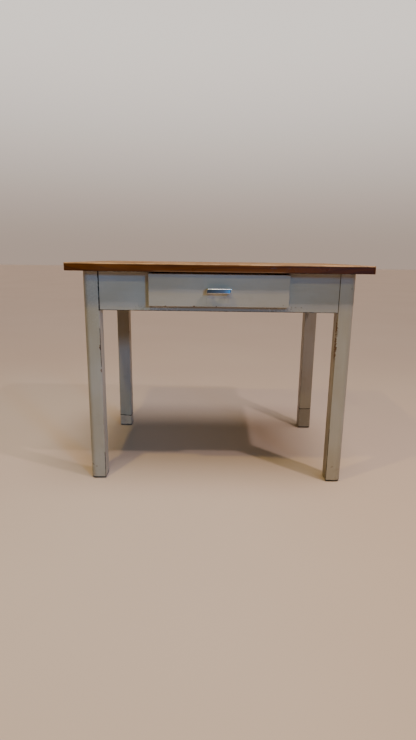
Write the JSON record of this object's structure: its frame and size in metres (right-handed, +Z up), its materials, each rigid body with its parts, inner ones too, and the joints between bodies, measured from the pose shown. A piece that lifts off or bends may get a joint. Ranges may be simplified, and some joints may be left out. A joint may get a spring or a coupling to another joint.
{
  "type": "kitchen table",
  "caption": "Rectangular kitchen table: brown wooden top on a painted frame of straight square legs and aprons, with a wooden drawer behind a proud front and a chrome bridge pull.",
  "frame": {"origin": "on the floor under the middle of the table top", "axes": "+Z up; -Y towards the drawer side, the way the drawer opens; +X to the right for a person facing the drawer"},
  "size_m": [1, 0.7, 0.77],
  "materials": {
    "painted_wood": "old greige satin paint, worn at the edges",
    "top_wood": "satin varnish over brown long-grain boards",
    "bare_wood": "bare softwood, yellowed with age",
    "panel_wood": "thin plywood, bare",
    "chrome": "polished",
    "steel": "dull zinc plated"
  },
  "bodies": {
    "table": {"back_apron": "painted_wood", "back_left_button": "bare_wood", "back_right_button": "bare_wood", "button_screws": "steel", "foot_tenons": "bare_wood", "front_apron": "painted_wood", "front_left_button": "bare_wood", "front_left_corner_block": "bare_wood", "front_left_leg": "painted_wood", "front_right_button": "bare_wood", "front_right_corner_block": "bare_wood", "front_right_leg": "painted_wood", "glides": "steel", "kicker_brads": "steel", "left_apron": "painted_wood", "left_button": "bare_wood", "left_guide": "bare_wood", "left_kicker": "bare_wood", "left_runner": "bare_wood", "rear_left_corner_block": "bare_wood", "rear_left_foot_block": "painted_wood", "rear_left_leg": "painted_wood", "rear_right_corner_block": "bare_wood", "rear_right_foot_block": "painted_wood", "rear_right_leg": "painted_wood", "right_apron": "painted_wood", "right_button": "bare_wood", "right_guide": "bare_wood", "right_kicker": "bare_wood", "right_runner": "bare_wood", "top_board_1": "top_wood", "top_board_2": "top_wood", "top_board_3": "top_wood", "top_board_4": "top_wood", "top_board_5": "top_wood"},
    "drawer": {"drawer_back": "bare_wood", "drawer_bottom": "panel_wood", "drawer_bottom_brads": "steel", "drawer_front": "painted_wood", "drawer_left_side": "bare_wood", "drawer_pull": "chrome", "drawer_right_side": "bare_wood", "pull_screws": "steel"}
  },
  "joints": [
    {"name": "drawer_slide", "type": "slide", "parent": "table", "child": "drawer", "axis": [0, -1, 0], "range_m": [0, 0.38]}
  ]
}
